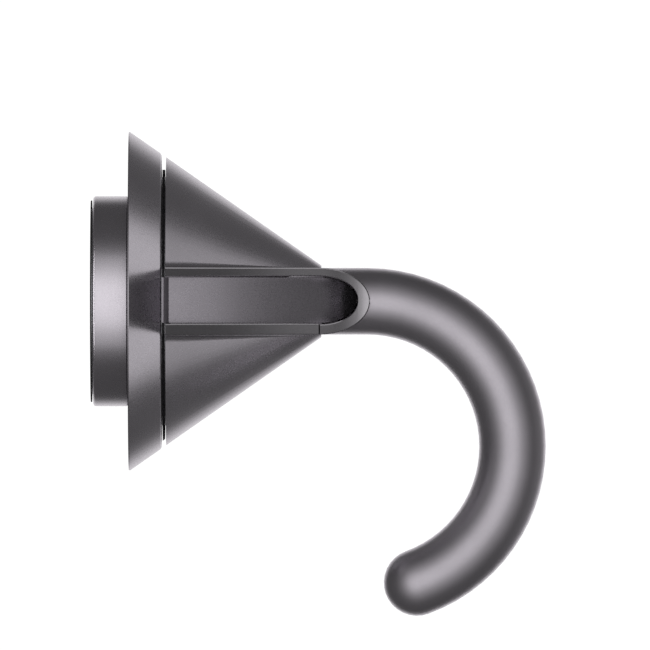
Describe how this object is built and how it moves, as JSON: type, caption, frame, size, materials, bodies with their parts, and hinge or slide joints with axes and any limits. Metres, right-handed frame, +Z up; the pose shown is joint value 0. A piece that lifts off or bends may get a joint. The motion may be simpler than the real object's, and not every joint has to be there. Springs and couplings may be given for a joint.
{
  "type": "hair dryer holder",
  "caption": "Wall holder for a hair dryer: a round base with a conical flange and a swivelling cone whose bent tube hook forms an open loop below.",
  "frame": {"origin": "centre of the round back of the wall plate, on the wall face", "axes": "+X out of the wall along the swivel axis, +Z up with the loop hanging below, the open channel on the cone faces -Y"},
  "size_m": [0.1092, 0.0858, 0.1161],
  "materials": {
    "satin_nickel": "satin black-nickel plate, fine grain",
    "dark_satin_nickel": "darker satin plate",
    "zinc_steel": "zinc-plated steel",
    "spring_steel": "oiled spring steel",
    "cast_aluminium": "machined",
    "bearing_bronze": "sintered bearing bronze",
    "black_rubber": "moulded",
    "black_nylon": "moulded"
  },
  "bodies": {
    "base": {"wall_plate": "zinc_steel", "wall_gasket": "black_rubber", "base_cup": "satin_nickel", "flange_ring": "satin_nickel", "flange_screw_1": "zinc_steel", "flange_screw_2": "zinc_steel", "flange_screw_3": "zinc_steel", "set_screw_1": "zinc_steel", "set_screw_2": "zinc_steel", "rear_bush": "bearing_bronze", "front_bush": "bearing_bronze", "thrust_washer": "bearing_bronze", "wave_washer": "spring_steel", "stop_pin": "zinc_steel", "detent_ball_1": "zinc_steel", "detent_ball_2": "zinc_steel", "detent_spring_1": "spring_steel", "detent_spring_2": "spring_steel"},
    "hook_head": {"pivot_bolt": "zinc_steel", "neck_hub": "cast_aluminium", "glide_ring": "black_nylon", "cone_screw_1": "zinc_steel", "cone_screw_2": "zinc_steel", "cone_screw_3": "zinc_steel", "cone_shell": "satin_nickel", "channel_liner": "satin_nickel", "channel_strip": "dark_satin_nickel", "hook_arm": "satin_nickel", "hook_insert": "cast_aluminium", "hook_bolt": "zinc_steel"}
  },
  "joints": [
    {"name": "hook_swivel", "type": "hinge", "parent": "base", "child": "hook_head", "pos_m": [0.0175, 0, 0], "axis": [1, 0, 0], "range_deg": [-90, 90]}
  ]
}
